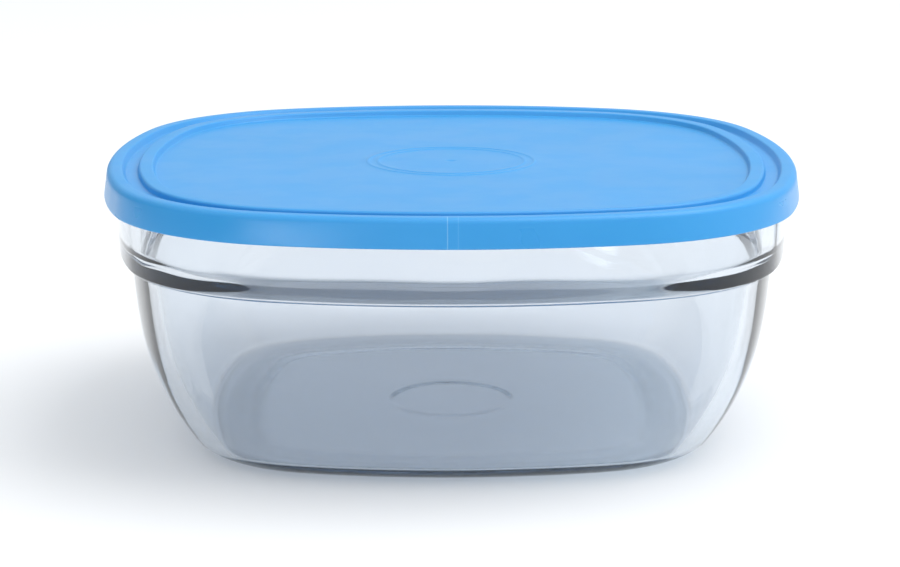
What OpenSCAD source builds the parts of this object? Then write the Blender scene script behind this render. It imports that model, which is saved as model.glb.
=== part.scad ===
// Square glass storage container with bowed sides: a one-piece pressed-glass bowl
// and a one-piece flexible snap lid. Millimetres, +Z up, origin at the centre of
// the resting plane, -Y is the front. Every wall is one profile swept round the
// same rounded-square outline, so each level section is parallel to the collar.

/* [Outline] */
// Outside width of the glass at the top of its collar, side to side
bowl_w = 200; // [180:1:230]
// Radius of the bowed sides there
side_r = 203; // [170:1:400]
// Radius of the corners there
corner_r = 60; // [54:1:75]

/* [Bowl] */
// Height of the glass, resting ring to rim
glass_h = 77.3; // [70:0.1:90]
// Thickness of the glass in the walls
wall_t = 4.6; // [4:0.1:5.2]
// Thickness of the glass in the floor
floor_t = 5.4; // [4:0.1:7]
// How far the rim's lip stands out past the collar
lip_out = 0.6; // [0.3:0.05:0.6]
// Height at which the collar steps in to the body
ledge_z = 55.2; // [50:0.1:58]
// How far the body stands in from the top of the collar
ledge_in = 4.3; // [3.2:0.1:5]
// Height over which the collar's underside rounds in to the body
ledge_h = 1.7; // [1.4:0.1:3]
// How far the resting ring stands in from the top of the collar
foot_in = 33.5; // [31:0.5:35]
// Diameter of the round mould mark in the middle of the base
mark_d = 36; // [24:1:50]

/* [Lid] */
// Thickness of the plastic
lid_t = 1.3; // [1:0.1:1.5]
// How far the skirt's lower edge stands out past the collar
skirt_out = 3.3; // [3.3:0.1:4.2]
// How far the skirt reaches down past the glass rim
skirt_drop = 4.9; // [4.6:0.1:6]
// Depth of the channel round the lid
channel_d = 1.9; // [1.7:0.1:2.1]
// Depth of the middle panel under the ridge round it
panel_d = 1.7; // [1.2:0.1:2]
// Gap between the lid and the glass all round, with the lip unstretched
lid_gap = 0.3; // [0.2:0.05:0.3]

/* [Hidden] */
$fn = 96;

glass_colour = [0.80, 0.87, 0.90, 0.4];
lid_colour = [0.25, 0.62, 0.93];

// The outline is four side arcs and four corner arcs, tangent where they meet.
// side_half is half the angle of a side arc; corner_c places a corner's centre.
side_c = bowl_w / 2 - side_r;
side_half = 45 + asin(side_c / ((side_r - corner_r) * sqrt(2)));
corner_c = (side_r - corner_r) * sin(side_half);

// ---- curves in a section: x is the distance out from the outline, y is height

function arc(c, rx, ry, from, to, steps) =
    [for (i = [0:steps]) let (a = from + (to - from) * i / steps)
        [c[0] + rx * cos(a), c[1] + ry * sin(a)]];

// A wall that comes down to `join` leaning in by `lean` runs on to a level base at
// height `base` through part of an ellipse, `reach` wide.
function foot_arc(join, base, reach, lean, steps) =
    let (rx = reach / cos(lean), ry = (join[1] - base) / (1 - sin(lean)))
    arc([join[0] - reach, base + ry], rx, ry, -90, -lean, steps);

function reversed(points) = [for (i = [len(points) - 1:-1:0]) points[i]];

// ---- sweeping a section round the outline ---------------------------------

module sweep_round() {
    for (turn = [0:90:270]) rotate([0, 0, turn]) {
        translate([side_c, 0, 0])
            rotate_extrude(angle = 2 * side_half, start = -side_half)
                translate([side_r, 0]) children();
        translate([corner_c, corner_c, 0])
            rotate_extrude(angle = 90 - 2 * side_half, start = side_half)
                translate([corner_r, 0]) children();
    }
}

// A flat plate that closes the middle of a swept section. Its straight edges run
// near the outline set in by `inset`, inside the section's level part.
module middle_plate(inset, bottom, top) {
    r = side_r - inset;
    translate([0, 0, bottom]) linear_extrude(top - bottom) polygon([
        for (turn = [0:90:270], part = [-1:0.5:1])
            let (x = side_c + r * cos(part * side_half), y = r * sin(part * side_half))
            [x * cos(turn) - y * sin(turn), x * sin(turn) + y * cos(turn)]]);
}

// ---- glass bowl -----------------------------------------------------------

rim_r = 1.9;
lip_h = 3.6;
lip_face = 1.0;
collar_draft = 0.85;
collar_z = ledge_z + ledge_h;
// The inside narrows below the collar over a longer slope than the outside does.
slope_top_z = ledge_z + 8.3;
// The body leans in by body_lean from ledge to base, and curves in by body_curve.
body_lean = 4.0;
body_curve = 15.8;
foot_join_z = 5;
foot_lean = 22;
foot_w = 3;
foot_slope = 6;
under_rise = 0.5;
mark_rise = 0.25;
// The wall thickens by base_extra towards the base and turns tightly into the floor.
base_extra = 2.0;
floor_join_z = floor_t + 0.9;
floor_reach = 1.8;
floor_lean = 33;
bowl_core_in = 51;
bowl_plate_in = 44;

function body_in(z) =
    let (u = 1 - z / ledge_z) ledge_in + body_lean * u + body_curve * pow(u, 3);
function cavity_in(z) = body_in(z) + wall_t + base_extra * (1 - z / ledge_z);

module glass_section() {
    foot_join = [-body_in(foot_join_z), foot_join_z];
    foot = foot_arc(foot_join, 0, foot_in - body_in(foot_join_z), foot_lean, 6);
    body_top = ledge_z - 0.5;
    body = [for (i = [1:9]) let (z = foot_join_z + (body_top - foot_join_z) * i / 9)
        [-body_in(z), z]];
    collar = arc([-ledge_in, collar_z], ledge_in - collar_draft, ledge_h, -84, 0, 6);
    lip = [[0, glass_h - lip_h], [lip_out, glass_h - lip_h + lip_face]];
    rim_out = arc([lip_out - rim_r, glass_h - rim_r], rim_r, rim_r, 0, 90, 5);

    rim_in = arc([rim_r - wall_t, glass_h - rim_r], rim_r, rim_r, 90, 180, 5);
    step_top = [-wall_t - 0.5, slope_top_z];
    step_end_z = ledge_z - 1.5;
    step_w = cavity_in(step_end_z) + step_top[0];
    step_h = step_top[1] - step_end_z;
    step = [for (i = [0:6]) let (t = i / 6)
        [step_top[0] - step_w * t * t * (3 - 2 * t), step_top[1] - step_h * t]];
    inner = [for (i = [1:9]) let (z = step_end_z + (floor_join_z - step_end_z) * i / 9)
        [-cavity_in(z), z]];
    floor_join = [-cavity_in(floor_join_z), floor_join_z];
    fillet = reversed(foot_arc(floor_join, floor_t, floor_reach, floor_lean, 5));

    polygon(concat(foot, body, collar, lip, rim_out, rim_in, step, inner,
        [for (i = [1:5]) fillet[i]],
        [[-bowl_core_in, floor_t], [-bowl_core_in, under_rise],
         [-foot_in - foot_w - foot_slope, under_rise], [-foot_in - foot_w, 0]]));
}

module glass_bowl() {
    color(glass_colour) difference() {
        union() {
            sweep_round() glass_section();
            middle_plate(bowl_plate_in, under_rise, floor_t);
        }
        // round mould mark, a shallow disc pressed into the underside
        translate([0, 0, under_rise - 1]) cylinder(d = mark_d, h = 1 + mark_rise);
    }
}

// ---- snap lid -------------------------------------------------------------
// One bent sheet: skirt, rim, channel, ridge and panel, with a snap bead inside
// the skirt and a sealing lip that drops inside the glass.

seat_z = glass_h + lid_gap;
channel_z = seat_z + lid_t;
lid_top = channel_z + channel_d;
panel_z = lid_top - panel_d;
skirt_z = glass_h - skirt_drop;
skirt_flare = 1.0;
lid_rim_r = 2.0;
lid_rim_out = skirt_out - skirt_flare;
lid_rim_in = 2.1;
edge_r = 0.8;
channel_out = 3.4;
channel_in = 6.7;
ridge_out = 7.2;
ridge_in = 10.8;
panel_in = 12;
bead_in = lip_out + lid_gap;
bead_z = skirt_z + 0.8;
seal_out = wall_t + lid_gap + 0.15;
seal_in = 6.2;
seal_z = seat_z - 3.7;
lid_core_in = 32;
lid_plate_in = 20;

module lid_section() {
    rim_c = [lid_rim_out - lid_rim_r, lid_top - lid_rim_r];
    top_face = concat(
        [[skirt_out - 0.3, skirt_z], [skirt_out, skirt_z + 0.4]],
        arc(rim_c, lid_rim_r, lid_rim_r, 7, 90, 6),
        arc([edge_r - lid_rim_in, lid_top - edge_r], edge_r, edge_r, 90, 165, 4),
        [[0.5 - channel_out, channel_z + 0.3], [-channel_out, channel_z],
         [-channel_in, channel_z], [-channel_in - 0.2, channel_z + 0.2]],
        arc([-ridge_out - edge_r, lid_top - edge_r], edge_r, edge_r, 10, 90, 4),
        arc([edge_r - ridge_in, lid_top - edge_r], edge_r, edge_r, 90, 128, 3),
        [[0.5 - panel_in, panel_z + 0.15], [-panel_in, panel_z], [-lid_core_in, panel_z]]);
    under_face = concat(
        [[-lid_core_in, panel_z - lid_t], [0.4 - panel_in, panel_z - lid_t],
         [0.6 - ridge_in, lid_top - lid_t], [-ridge_out - 1.2, lid_top - lid_t],
         [-channel_in - 1.1, seat_z + 0.2], [-channel_in - 0.9, seat_z],
         [-seal_in, seat_z], [-seal_in, seal_z + 0.3], [0.3 - seal_in, seal_z],
         [-seal_out - 0.3, seal_z], [-seal_out, seal_z + 0.3], [-seal_out, seat_z],
         [1 - channel_out, seat_z], [1.1 - lid_rim_in, lid_top - lid_t]],
        arc(rim_c, lid_rim_r - lid_t, lid_rim_r - lid_t, 90, 7, 3),
        [[skirt_out - lid_t - 0.2, bead_z + 1.2], [bead_in, bead_z + 0.3],
         [bead_in, bead_z - 0.2], [skirt_out - lid_t, skirt_z]]);
    polygon(concat(top_face, under_face));
}

module snap_lid() {
    color(lid_colour) {
        sweep_round() lid_section();
        middle_plate(lid_plate_in, panel_z - lid_t, panel_z);
    }
}

glass_bowl();
snap_lid();
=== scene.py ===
"""A square glass storage container with bowed sides, under a blue snap lid.

Both pieces are one section swept round the same rounded-square outline. A section is a list
of (out, up) points: out is the distance outwards from the collar's outline, up is the height.
Lengths are in metres; MM turns millimetres into them.
"""

import math

import bmesh
import bpy
import numpy as np
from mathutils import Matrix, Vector, noise


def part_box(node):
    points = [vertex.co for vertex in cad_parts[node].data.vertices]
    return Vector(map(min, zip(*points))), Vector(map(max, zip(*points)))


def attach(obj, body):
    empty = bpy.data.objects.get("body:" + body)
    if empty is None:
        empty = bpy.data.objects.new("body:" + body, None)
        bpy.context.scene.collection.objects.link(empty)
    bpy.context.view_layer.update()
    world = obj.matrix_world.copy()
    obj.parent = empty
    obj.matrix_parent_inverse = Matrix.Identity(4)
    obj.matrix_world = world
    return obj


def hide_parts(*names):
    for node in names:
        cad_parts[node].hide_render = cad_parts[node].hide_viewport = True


MM = 0.001

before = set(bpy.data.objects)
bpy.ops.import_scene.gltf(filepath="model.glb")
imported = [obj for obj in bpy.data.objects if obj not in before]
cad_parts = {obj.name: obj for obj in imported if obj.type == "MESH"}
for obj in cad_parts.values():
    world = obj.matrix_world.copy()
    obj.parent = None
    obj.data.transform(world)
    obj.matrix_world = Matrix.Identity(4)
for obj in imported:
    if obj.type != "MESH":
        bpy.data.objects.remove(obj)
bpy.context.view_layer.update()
bowl_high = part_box("glass_bowl")[1]
lid_low, lid_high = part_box("snap_lid")

# ---- driving dimensions ------------------------------------------------------

LIP_OUT = 0.6 * MM  # the glass lip past the collar
HALF_W = bowl_high.x - LIP_OUT  # half the collar's width
GLASS_H = bowl_high.z
LID_TOP = lid_high.z
SKIRT_Z = lid_low.z
SKIRT_OUT = lid_high.x - HALF_W

SIDE_R = 203 * MM  # radius of the bowed sides at the collar
SIDE_HALF = math.radians(14.4)  # half the angle that a side's arc takes
BLEND_HALF = math.radians(4.5)  # half the angle over which side turns into corner

WALL_T = 4.6 * MM
FLOOR_T = 5.4 * MM
BASE_EXTRA = 2.0 * MM
LEDGE_Z = 55.2 * MM
LEDGE_IN = 4.3 * MM
LEDGE_H = 1.7 * MM
SLOPE_TOP_Z = LEDGE_Z + 8.3 * MM
COLLAR_DRAFT = 0.85 * MM
BODY_LEAN = 4.0 * MM  # with BODY_CURVE, how far the body leans in from ledge to base
BODY_CURVE = 15.8 * MM
FOOT_IN = 33.5 * MM
FOOT_W = 3 * MM
FOOT_SLOPE = 7 * MM
UNDER_RISE = 0.5 * MM
MARK_R = 18 * MM
MARK_RISE = 0.25 * MM

LID_T = 1.3 * MM
CHANNEL_D = 1.9 * MM
PANEL_D = 1.7 * MM
LID_GAP = 0.3 * MM
BOWL_CORE_IN = 47 * MM  # where the sections end, and rings that turn round take over
LID_CORE_IN = 22 * MM


# ---- the outline ---------------------------------------------------------------


def smooth(low, high, value):
    t = np.clip((value - low) / (high - low), 0.0, 1.0)
    return t * t * (3 - 2 * t)


def side_share(angle):
    """1 on a side, 0 in a corner, for the direction that the outline faces, 0 at a side's middle."""
    return 1 - smooth(SIDE_HALF - BLEND_HALF, SIDE_HALF + BLEND_HALF, angle)


def solve_corner_r(steps=2000):
    """The corner radius with which sides of radius SIDE_R meet on the diagonal at HALF_W."""
    angle = (np.arange(steps) + 0.5) * (math.pi / 4) / steps
    weight = (np.sin(angle) + np.cos(angle)) * (math.pi / 4) / steps
    side = side_share(angle)
    return (HALF_W - SIDE_R * np.sum(side * weight)) / np.sum((1 - side) * weight)


def eighth_of_outline(angles, corner_r, fine=24):
    """Points at these facing angles, from a side's middle to the diagonal."""
    at, points, last = np.array([HALF_W, 0.0]), [], 0.0
    for angle in angles:
        step = (angle - last) / fine
        for k in range(fine):
            a = last + (k + 0.5) * step
            share = side_share(a)
            r = corner_r + (SIDE_R - corner_r) * share
            at = at + r * step * np.array([-math.sin(a), math.cos(a)])
        points.append(at)
        last = angle
    return points


def outline():
    """Points and outward directions round the collar, evenly enough for smooth reflections."""
    corner_r = solve_corner_r()
    side_angles = np.linspace(0, SIDE_HALF, 13)
    corner_angles = np.linspace(SIDE_HALF, math.pi / 4, 19)[1:]
    angles = np.concatenate([side_angles, corner_angles])
    eighth = np.array(eighth_of_outline(angles, corner_r))
    mirrored = eighth[::-1][1:-1, ::-1]
    quarter = np.concatenate([eighth, mirrored])
    facing = np.concatenate([angles, math.pi / 2 - angles[::-1][1:-1]])
    points, directions = [], []
    for turn in range(4):
        a = turn * math.pi / 2
        spin = np.array([[math.cos(a), -math.sin(a)], [math.sin(a), math.cos(a)]])
        points.append(quarter @ spin.T)
        directions.append(np.stack([np.cos(facing + a), np.sin(facing + a)], 1))
    return np.concatenate(points), np.concatenate(directions)


OUTLINE, OUTWARD = outline()


def ring(out, up):
    """The outline moved outwards by out, at height up."""
    flat = OUTLINE + OUTWARD * out
    return np.column_stack([flat, np.full(len(flat), up)])


def core_ring(radius, up, core_in):
    """A ring inside the outline at -core_in: a circle near the middle, the outline at its edge."""
    edge = OUTLINE - OUTWARD * core_in
    edge_r = HALF_W - core_in
    share = radius / edge_r
    round_part = edge / np.linalg.norm(edge, axis=1)[:, None] * edge_r
    square = float(smooth(0.5, 1.0, share))
    flat = share * (square * edge + (1 - square) * round_part)
    return np.column_stack([flat, np.full(len(flat), up)])


# ---- sections ------------------------------------------------------------------


def rounded(corners, turn_step=math.radians(15)):
    """A line through (out, up, radius) corners, with each corner rounded by its radius."""
    points = [np.array(corners[0][:2])]
    for before, corner, after in zip(corners, corners[1:], corners[2:]):
        p = np.array(corner[:2])
        to_before = np.array(before[:2]) - p
        to_after = np.array(after[:2]) - p
        room = 0.49 * min(np.linalg.norm(to_before), np.linalg.norm(to_after))
        to_before = to_before / np.linalg.norm(to_before)
        to_after = to_after / np.linalg.norm(to_after)
        between = math.acos(float(np.clip(to_before @ to_after, -1, 1)))
        if corner[2] == 0 or math.pi - between < math.radians(1):
            points.append(p)
            continue
        cut = min(corner[2] / math.tan(between / 2), room)
        radius = cut * math.tan(between / 2)
        middle = to_before + to_after
        centre = p + middle / np.linalg.norm(middle) * math.hypot(cut, radius)
        start, end = p + to_before * cut - centre, p + to_after * cut - centre
        turn = math.atan2(start[0] * end[1] - start[1] * end[0], float(start @ end))
        steps = max(2, math.ceil(abs(turn) / turn_step))
        for a in np.linspace(0, turn, steps + 1):
            spin = np.array([[math.cos(a), -math.sin(a)], [math.sin(a), math.cos(a)]])
            points.append(centre + spin @ start)
    points.append(np.array(corners[-1][:2]))
    return points


def arc(centre, rx, ry, start, end, steps):
    """Points of part of an ellipse, with its angles in degrees."""
    angles = np.radians(np.linspace(start, end, steps + 1))
    return [np.array([centre[0] + rx * math.cos(a), centre[1] + ry * math.sin(a)]) for a in angles]


def foot_arc(join, base, reach, lean, steps):
    """From a level base round to a wall that leans in by lean degrees at join."""
    turn = math.radians(lean)
    rx = reach / math.cos(turn)
    ry = (join[1] - base) / (1 - math.sin(turn))
    return arc((join[0] - reach, base + ry), rx, ry, -90, -lean, steps)


def body_in(up):
    """How far the body stands in from the collar at this height."""
    u = 1 - up / LEDGE_Z
    return LEDGE_IN + BODY_LEAN * u + BODY_CURVE * u**3


def cavity_in(up):
    return body_in(up) + WALL_T + BASE_EXTRA * (1 - up / LEDGE_Z)


def bowl_outer_section():
    """Outside of the glass, from the recessed underside out and up to the rim's top."""
    join_z = 5 * MM
    ring_in = -FOOT_IN - FOOT_W
    under = [np.array([-BOWL_CORE_IN, UNDER_RISE])]
    for t in np.linspace(0, 1, 12):
        lift = UNDER_RISE * (1 - float(smooth(0, 1, t)))
        under.append(np.array([ring_in - FOOT_SLOPE * (1 - t), lift]))
    under.append(np.array([-FOOT_IN, 0.0]))
    join = (-body_in(join_z), join_z)
    foot = foot_arc(join, 0, FOOT_IN - body_in(join_z), 22, 16)
    body = [np.array([-body_in(z), z]) for z in np.linspace(join_z, LEDGE_Z - 0.9 * MM, 26)]
    collar_z = LEDGE_Z + LEDGE_H
    ledge = arc((-LEDGE_IN, collar_z), LEDGE_IN - COLLAR_DRAFT, LEDGE_H, -62, 0, 12)
    nick = rounded([(*body[-1], 0), (-LEDGE_IN, LEDGE_Z, 0.9 * MM), (*ledge[0], 0)])[1:-1]
    rim = rounded([
        (*ledge[-1], 0),
        (0, GLASS_H - 3.6 * MM, 1.2 * MM),
        (LIP_OUT, GLASS_H - 2.6 * MM, 1.0 * MM),
        (LIP_OUT, GLASS_H, 1.9 * MM),
        (-WALL_T / 2, GLASS_H, 0),
    ], math.radians(10))[1:]
    return under + foot[1:] + body[1:] + nick + ledge + rim


def bowl_inner_section():
    """Inside of the glass, from the rim's top down to the floor."""
    rim = rounded([
        (-WALL_T / 2, GLASS_H, 0),
        (-WALL_T, GLASS_H, 1.9 * MM),
        (-WALL_T - 0.5 * MM, SLOPE_TOP_Z, 0),
    ], math.radians(10))[1:]
    step_end = LEDGE_Z - 1.5 * MM
    start, end = rim[-1], np.array([-cavity_in(step_end), step_end])
    step = []
    for t in np.linspace(0, 1, 15)[1:]:
        step.append(np.array([start[0] + (end[0] - start[0]) * float(smooth(0, 1, t)),
                              start[1] + (end[1] - start[1]) * t]))
    join_z = FLOOR_T + 0.9 * MM
    wall = [np.array([-cavity_in(z), z]) for z in np.linspace(step_end, join_z, 26)[1:]]
    fillet = foot_arc((-cavity_in(join_z), join_z), FLOOR_T, 1.8 * MM, 33, 10)[::-1]
    return rim + step + wall + fillet[1:] + [np.array([-BOWL_CORE_IN, FLOOR_T])]


SEAT_Z = LID_TOP - CHANNEL_D - LID_T
CHANNEL_Z = LID_TOP - CHANNEL_D
PANEL_Z = LID_TOP - PANEL_D


def lid_top_section():
    """Top of the lid, from the panel out over ridge, channel and rim, and down the skirt."""
    return rounded([
        (-LID_CORE_IN, PANEL_Z, 0),
        (-11.9 * MM, PANEL_Z, 0.8 * MM),
        (-11.1 * MM, LID_TOP, 0.7 * MM),
        (-7.0 * MM, LID_TOP, 0.9 * MM),
        (-6.7 * MM, CHANNEL_Z, 0.5 * MM),
        (-3.2 * MM, CHANNEL_Z, 0.9 * MM),
        (-2.0 * MM, LID_TOP, 0.8 * MM),
        (SKIRT_OUT - 1.1 * MM, LID_TOP, 2.0 * MM),
        (SKIRT_OUT - 0.05 * MM, SKIRT_Z + 0.6 * MM, 1.5 * MM),
        (SKIRT_OUT, SKIRT_Z, 0.3 * MM),
        (SKIRT_OUT - 0.8 * MM, SKIRT_Z, 0),
    ], math.radians(12))


def lid_under_section():
    """Underside of the lid, from the skirt's lower edge in to the panel."""
    under = LID_TOP - LID_T
    bead_in = LIP_OUT + LID_GAP
    seal_out = WALL_T + LID_GAP + 0.15 * MM
    seal_in = 6.2 * MM
    seal_z = SEAT_Z - 3.7 * MM
    bead_z = SKIRT_Z + 0.8 * MM
    return rounded([
        (SKIRT_OUT - 0.8 * MM, SKIRT_Z, 0),
        (SKIRT_OUT - LID_T, SKIRT_Z, 0.3 * MM),
        (bead_in, bead_z - 0.2 * MM, 0.4 * MM),
        (bead_in, bead_z + 0.3 * MM, 0.4 * MM),
        (SKIRT_OUT - LID_T - 0.2 * MM, bead_z + 1.2 * MM, 0.5 * MM),
        (SKIRT_OUT - 1.0 * MM - LID_T, under, 0.8 * MM),
        (-0.9 * MM, under, 0.4 * MM),
        (-2.4 * MM, SEAT_Z, 0.5 * MM),
        (-seal_out, SEAT_Z, 0.15 * MM),
        (-seal_out, seal_z, 0.5 * MM),
        (-seal_in, seal_z, 0.5 * MM),
        (-seal_in, SEAT_Z, 0.3 * MM),
        (-7.8 * MM, SEAT_Z, 0.5 * MM),
        (-8.3 * MM, under, 0.5 * MM),
        (-10.3 * MM, under, 0.5 * MM),
        (-11.9 * MM, PANEL_Z - LID_T, 0.6 * MM),
        (-LID_CORE_IN, PANEL_Z - LID_T, 0),
    ], math.radians(15))


# ---- meshes --------------------------------------------------------------------


def lofted(name, rings):
    """A closed mesh through the rings, with its first and last ring closed by a point."""
    count = len(rings[0])
    poles = [rings[0].mean(axis=0), rings[-1].mean(axis=0)]
    points = np.concatenate([*rings, np.array(poles)])
    first_pole, last_pole = len(points) - 2, len(points) - 1
    faces = []
    for row in range(len(rings) - 1):
        for k in range(count):
            a, b = row * count + k, row * count + (k + 1) % count
            faces.append((a, b, b + count, a + count))
    last_row = (len(rings) - 1) * count
    for k in range(count):
        after = (k + 1) % count
        faces.append((first_pole, after, k))
        faces.append((last_pole, last_row + k, last_row + after))
    mesh = bpy.data.meshes.new(name)
    mesh.from_pydata(points.tolist(), [], faces)
    cleaner = bmesh.new()
    cleaner.from_mesh(mesh)
    bmesh.ops.recalc_face_normals(cleaner, faces=cleaner.faces)
    cleaner.to_mesh(mesh)
    cleaner.free()
    mesh.shade_smooth()
    piece = bpy.data.objects.new(name, mesh)
    bpy.context.scene.collection.objects.link(piece)
    return piece


def ripple(piece, sizes, keep_above=0.0):
    """Moves the surface in and out by a little smooth noise, as pressed glass has."""
    normals = [v.normal.copy() for v in piece.data.vertices]
    for vertex, normal in zip(piece.data.vertices, normals):
        shift = 0.0
        for depth, wave in sizes:
            shift += depth * noise.noise(vertex.co / wave + normal * 3.1)
        if vertex.co.z > keep_above:
            vertex.co += normal * shift
    piece.data.update()


def glass_bowl_piece():
    outer, inner = bowl_outer_section(), bowl_inner_section()
    edge_r = HALF_W - BOWL_CORE_IN
    step_w = 3 * MM
    under_radii = [3 * MM, 9 * MM, 14 * MM]
    under = [core_ring(r, UNDER_RISE + MARK_RISE, BOWL_CORE_IN) for r in under_radii]
    for t in np.linspace(0, 1, 7):
        lift = MARK_RISE * (1 - float(smooth(0, 1, t)))
        under.append(core_ring(MARK_R + step_w * (t - 0.5), UNDER_RISE + lift, BOWL_CORE_IN))
    wide_radii = np.linspace(MARK_R + step_w, edge_r, 9)[1:-1]
    under += [core_ring(r, UNDER_RISE, BOWL_CORE_IN) for r in wide_radii]
    rings = under + [ring(out, up) for out, up in outer + inner]
    floor = np.linspace(edge_r, 0, 15)[1:-1]
    rings += [core_ring(r, FLOOR_T, BOWL_CORE_IN) for r in floor]
    piece = lofted("pressed_glass_bowl", rings)
    ripple(piece, [(0.04 * MM, 34 * MM), (0.008 * MM, 11 * MM)], 1 * MM)
    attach(piece, "bowl")
    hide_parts("glass_bowl")
    return piece


def snap_lid_piece():
    edge_r = HALF_W - LID_CORE_IN
    gate = [(0.6 * MM, -0.25 * MM), (1.2 * MM, -0.2 * MM), (1.6 * MM, 0), (2.4 * MM, 0)]
    top = [core_ring(r, PANEL_Z + rise, LID_CORE_IN) for r, rise in gate]
    top += [core_ring(r * MM, PANEL_Z, LID_CORE_IN) for r in (8, 14, 19)]
    for bead_r in (22 * MM, 25 * MM):
        for t in np.linspace(-1, 1, 9):
            rise = 0.22 * MM * float(1 - smooth(0.25, 1.0, abs(t)))
            top.append(core_ring(bead_r + 0.7 * MM * t, PANEL_Z + rise, LID_CORE_IN))
    top += [core_ring(r, PANEL_Z, LID_CORE_IN) for r in np.linspace(28 * MM, edge_r, 9)[:-1]]
    swept = lid_top_section() + lid_under_section()[1:]
    under = np.linspace(edge_r, 0, 12)[1:-1]
    rings = top + [ring(out, up) for out, up in swept]
    rings += [core_ring(r, PANEL_Z - LID_T, LID_CORE_IN) for r in under]
    piece = lofted("blue_snap_lid", rings)
    ripple(piece, [(0.03 * MM, 45 * MM)])
    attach(piece, "lid")
    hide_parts("snap_lid")
    return piece


# ---- materials -----------------------------------------------------------------


def add(nodes, kind, settings=None, **inputs):
    """A shader node with its settings and its inputs' plain values."""
    made = nodes.new(kind)
    for key, value in (settings or {}).items():
        setattr(made, key, value)
    for key, value in inputs.items():
        made.inputs[key.replace("_", " ")].default_value = value
    return made


def new_material(name):
    material = bpy.data.materials.new(name)
    material.use_nodes = True
    tree = material.node_tree
    tree.nodes.clear()
    return material, tree.nodes, tree.links


def noise_at(nodes, links, scale, detail=2.0, stretch=(1, 1, 1)):
    """Noise in the object's own metres, scale cells to the metre."""
    where = add(nodes, "ShaderNodeTexCoord")
    sized = add(nodes, "ShaderNodeMapping", Scale=stretch)
    made = add(nodes, "ShaderNodeTexNoise", Scale=scale, Detail=detail, Roughness=0.55)
    links.new(where.outputs["Object"], sized.inputs["Vector"])
    links.new(sized.outputs["Vector"], made.inputs["Vector"])
    return made.outputs["Fac"]


def ranged(nodes, links, source, low, high, to_low, to_high):
    """source's range low..high moved to to_low..to_high."""
    made = add(nodes, "ShaderNodeMapRange", {"interpolation_type": "SMOOTHSTEP"})
    for key, value in zip(("From Min", "From Max", "To Min", "To Max"), (low, high, to_low, to_high)):
        made.inputs[key].default_value = value
    links.new(source, made.inputs["Value"])
    return made.outputs["Result"]


def maths(nodes, links, operation, first, second):
    made = add(nodes, "ShaderNodeMath", {"operation": operation})
    for socket, value in zip(made.inputs, (first, second)):
        if isinstance(value, (int, float)):
            socket.default_value = value
        else:
            links.new(value, socket)
    return made.outputs[0]


def position(nodes, links):
    """The object's own x, y and z sockets."""
    where = add(nodes, "ShaderNodeTexCoord")
    parts = add(nodes, "ShaderNodeSeparateXYZ")
    links.new(where.outputs["Object"], parts.inputs["Vector"])
    return parts.outputs


def bumped(nodes, links, height, distance, strength=1.0):
    made = add(nodes, "ShaderNodeBump", Strength=strength, Distance=distance)
    links.new(height, made.inputs["Height"])
    return made.outputs["Normal"]


def glass_material():
    """Clear pressed glass with a grey tint of painted shade: a little handling haze, faint chill
    ripple, a worn resting ring.
    """
    material, nodes, links = new_material("pressed_glass")
    shader = add(nodes, "ShaderNodeBsdfPrincipled", Transmission_Weight=1.0, IOR=1.517)
    # The tint is darker than clear glass: painted shade standing in for the greyer surroundings seen
    # through it.
    shader.inputs["Base Color"].default_value = (0.875, 0.895, 0.92, 1)
    up = position(nodes, links)["Z"]
    worn = ranged(nodes, links, up, 0.1 * MM, 0.5 * MM, 0.22, 0.0)
    haze = ranged(nodes, links, noise_at(nodes, links, 38, 4), 0.45, 0.75, 0.0, 0.03)
    links.new(maths(nodes, links, "ADD", worn, haze), shader.inputs["Roughness"])
    chill = noise_at(nodes, links, 90, 3, (1, 1, 0.4))
    links.new(bumped(nodes, links, chill, 0.02 * MM, 0.6), shader.inputs["Normal"])
    passing = add(nodes, "ShaderNodeBsdfTransparent")
    passing.inputs["Color"].default_value = (0.93, 0.96, 0.97, 1)
    path = add(nodes, "ShaderNodeLightPath")
    either = add(nodes, "ShaderNodeMixShader")
    links.new(path.outputs["Is Shadow Ray"], either.inputs[0])
    links.new(shader.outputs["BSDF"], either.inputs[1])
    links.new(passing.outputs["BSDF"], either.inputs[2])
    depth = add(nodes, "ShaderNodeVolumeAbsorption", Density=26.0)
    depth.inputs["Color"].default_value = (0.62, 0.72, 0.80, 1)
    out = add(nodes, "ShaderNodeOutputMaterial")
    links.new(either.outputs["Shader"], out.inputs["Surface"])
    links.new(depth.outputs["Volume"], out.inputs["Volume"])
    return material


def seam_highlight_line(nodes, links, place, x_at):
    """1 on a fine upright mould line at x_at on the front of the skirt, 0 elsewhere: the real line,
    painted paler as a painted highlight for the light that its ridge catches.
    """
    x, y = place[0], place[1]
    aside = maths(nodes, links, "ABSOLUTE", maths(nodes, links, "SUBTRACT", x, x_at), 0.0)
    line = ranged(nodes, links, aside, 0.06 * MM, 0.2 * MM, 1.0, 0.0)
    on_front = ranged(nodes, links, y, -HALF_W, -HALF_W + 1 * MM, 1.0, 0.0)
    return maths(nodes, links, "MULTIPLY", line, on_front)


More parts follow.
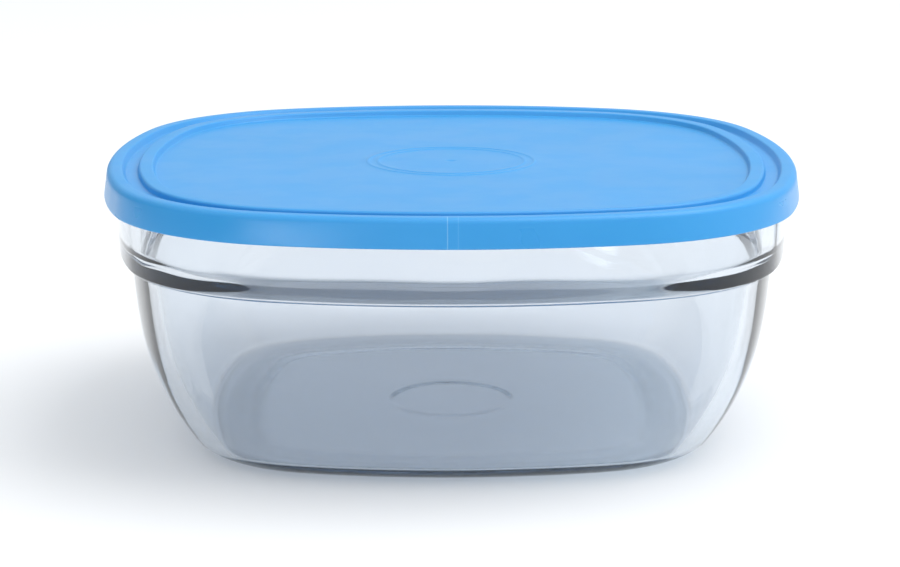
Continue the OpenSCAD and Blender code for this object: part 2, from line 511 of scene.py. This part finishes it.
def lid_material():
    """Satin blue polyethylene, slightly see-through to light, with a fine moulded grain."""
    material, nodes, links = new_material("blue_plastic")
    shader = add(nodes, "ShaderNodeBsdfPrincipled", IOR=1.47, Subsurface_Weight=0.15,
                 Subsurface_Scale=0.0015)
    shader.inputs["Subsurface Radius"].default_value = (0.25, 0.6, 1.0)
    mixed = add(nodes, "ShaderNodeMix", {"data_type": "RGBA"})
    cloud = noise_at(nodes, links, 30, 3)
    links.new(ranged(nodes, links, cloud, 0.2, 0.8, 0.0, 1.0), mixed.inputs["Factor"])
    mixed.inputs[6].default_value = (0.030, 0.300, 0.67, 1)
    mixed.inputs[7].default_value = (0.035, 0.314, 0.70, 1)
    place = position(nodes, links)
    # The two mould lines are painted a paler blue: a painted highlight in place of light caught on
    # their ridges.
    strong_seam_highlight = maths(nodes, links, "MULTIPLY", seam_highlight_line(nodes, links, place, -2.3 * MM), 0.35)
    faint = maths(nodes, links, "MULTIPLY", seam_highlight_line(nodes, links, place, 0.6 * MM), 0.12)
    pale = add(nodes, "ShaderNodeMix", {"data_type": "RGBA"})
    links.new(maths(nodes, links, "ADD", strong_seam_highlight, faint), pale.inputs["Factor"])
    links.new(mixed.outputs[2], pale.inputs[6])
    pale.inputs[7].default_value = (0.35, 0.66, 0.90, 1)
    links.new(pale.outputs[2], shader.inputs["Base Color"])
    rubbed = ranged(nodes, links, noise_at(nodes, links, 60, 2), 0.3, 0.75, 0.0, 0.07)
    satin = ranged(nodes, links, place[2], LID_TOP - 3 * MM, LID_TOP - 1 * MM, 0.27, 0.38)
    links.new(maths(nodes, links, "ADD", rubbed, satin), shader.inputs["Roughness"])
    grain = noise_at(nodes, links, 1500, 2)
    links.new(bumped(nodes, links, grain, 0.01 * MM, 0.2), shader.inputs["Normal"])
    out = add(nodes, "ShaderNodeOutputMaterial")
    links.new(shader.outputs["BSDF"], out.inputs["Surface"])
    return material


# ---- studio --------------------------------------------------------------------


def floor():
    """A plain pale light table: it glows a little, so that its shadows stay soft."""
    reach, gap = 6.0, 0.2 * MM
    corners = [(x * reach, y * reach, -gap) for x, y in ((-1, -1), (1, -1), (1, 1), (-1, 1))]
    mesh = bpy.data.meshes.new("floor")
    mesh.from_pydata(corners, [], [(0, 1, 2, 3)])
    piece = bpy.data.objects.new("floor", mesh)
    bpy.context.scene.collection.objects.link(piece)
    material, nodes, links = new_material("floor")
    shader = add(nodes, "ShaderNodeBsdfPrincipled", Roughness=0.7)
    shader.inputs["Base Color"].default_value = (0.69, 0.695, 0.70, 1)
    shader.inputs["Emission Color"].default_value = (0.90, 0.95, 1.0, 1)
    shader.inputs["Emission Strength"].default_value = 0.27
    shader.inputs["Specular IOR Level"].default_value = 0.0
    out = add(nodes, "ShaderNodeOutputMaterial")
    links.new(shader.outputs["BSDF"], out.inputs["Surface"])
    mesh.materials.append(material)


def studio_light():
    """A pale room with a bright ceiling, a grey-blue wall at the back and a dim left side.

    Seen directly, the room is plain white; the glass and the lid show its shades.
    """
    world = bpy.data.worlds.new("studio")
    bpy.context.scene.world = world
    world.use_nodes = True
    nodes, links = world.node_tree.nodes, world.node_tree.links
    nodes.clear()
    where = add(nodes, "ShaderNodeTexCoord")
    parts = add(nodes, "ShaderNodeSeparateXYZ")
    links.new(where.outputs["Generated"], parts.inputs["Vector"])
    x, y, up = parts.outputs
    low = ranged(nodes, links, up, 0.3, 0.75, 1.0, 0.0)
    back = maths(nodes, links, "MULTIPLY", low, ranged(nodes, links, y, -0.1, 0.7, 0.0, 1.0))
    left = maths(nodes, links, "MULTIPLY", low, ranged(nodes, links, x, -0.8, -0.1, 1.0, 0.0))
    front = maths(nodes, links, "MULTIPLY", low, ranged(nodes, links, y, -0.9, -0.3, 1.0, 0.0))
    level = 1.0
    for share, depth in ((back, 0.2), (left, 0.7), (front, 0.35)):
        dimmed = maths(nodes, links, "SUBTRACT", 1.0, maths(nodes, links, "MULTIPLY", share, depth))
        level = maths(nodes, links, "MULTIPLY", dimmed, level)
    strip_x = maths(nodes, links, "MULTIPLY", x, -0.515)
    toward_strip = maths(nodes, links, "ADD", strip_x, maths(nodes, links, "MULTIPLY", y, -0.857))
    strip = ranged(nodes, links, toward_strip, 0.975, 0.99, 0.0, 6.0)
    level = maths(nodes, links, "ADD", level, maths(nodes, links, "MULTIPLY", strip, low))
    path = add(nodes, "ShaderNodeLightPath")
    seen = path.outputs["Is Camera Ray"]
    strength = maths(nodes, links, "MAXIMUM", level, seen)
    tint = add(nodes, "ShaderNodeMix", {"data_type": "RGBA"})
    tint.inputs[6].default_value = (1.0, 1.0, 1.0, 1)
    tint.inputs[7].default_value = (0.84, 0.93, 1.05, 1)
    hidden = maths(nodes, links, "SUBTRACT", 1.0, seen)
    links.new(maths(nodes, links, "MULTIPLY", back, hidden), tint.inputs["Factor"])
    background = add(nodes, "ShaderNodeBackground")
    links.new(tint.outputs[2], background.inputs["Color"])
    links.new(strength, background.inputs["Strength"])
    out = add(nodes, "ShaderNodeOutputWorld")
    links.new(background.outputs["Background"], out.inputs["Surface"])


def softbox(name, place, size, power):
    """A square soft light at place that faces the object."""
    data = bpy.data.lights.new(name, "AREA")
    data.shape = "RECTANGLE"
    data.size, data.size_y = size
    data.energy = power
    lamp = bpy.data.objects.new(name, data)
    lamp.location = place
    aim = Vector((0, 0, LID_TOP / 2)) - lamp.location
    lamp.rotation_euler = aim.to_track_quat("-Z", "Y").to_euler()
    bpy.context.scene.collection.objects.link(lamp)


def camera():
    """From the front, a little above: the lid's top shows as a narrow oval."""
    distance, height, pitch, yaw = 897.6 * MM, 231.4 * MM, 11.95, -0.74
    data = bpy.data.cameras.new("camera")
    data.sensor_width = 36
    data.lens = 121.1
    data.shift_x = -0.0013
    piece = bpy.data.objects.new("camera", data)
    turn = math.radians(yaw)
    piece.location = (distance * math.sin(turn), -distance * math.cos(turn), height)
    piece.rotation_euler = (math.radians(90 - pitch), 0, turn)
    bpy.context.scene.collection.objects.link(piece)
    bpy.context.scene.camera = piece


camera()
bowl = glass_bowl_piece()
bowl.data.materials.append(glass_material())
lid = snap_lid_piece()
lid.data.materials.append(lid_material())
floor()
studio_light()
softbox("key", (0.7, -0.1, 1.3), (1.2, 1.2), 13)
bpy.context.scene.view_settings.view_transform = "Standard"
light_paths = bpy.context.scene.cycles
light_paths.max_bounces = 24
light_paths.glossy_bounces = 16
light_paths.transmission_bounces = 24
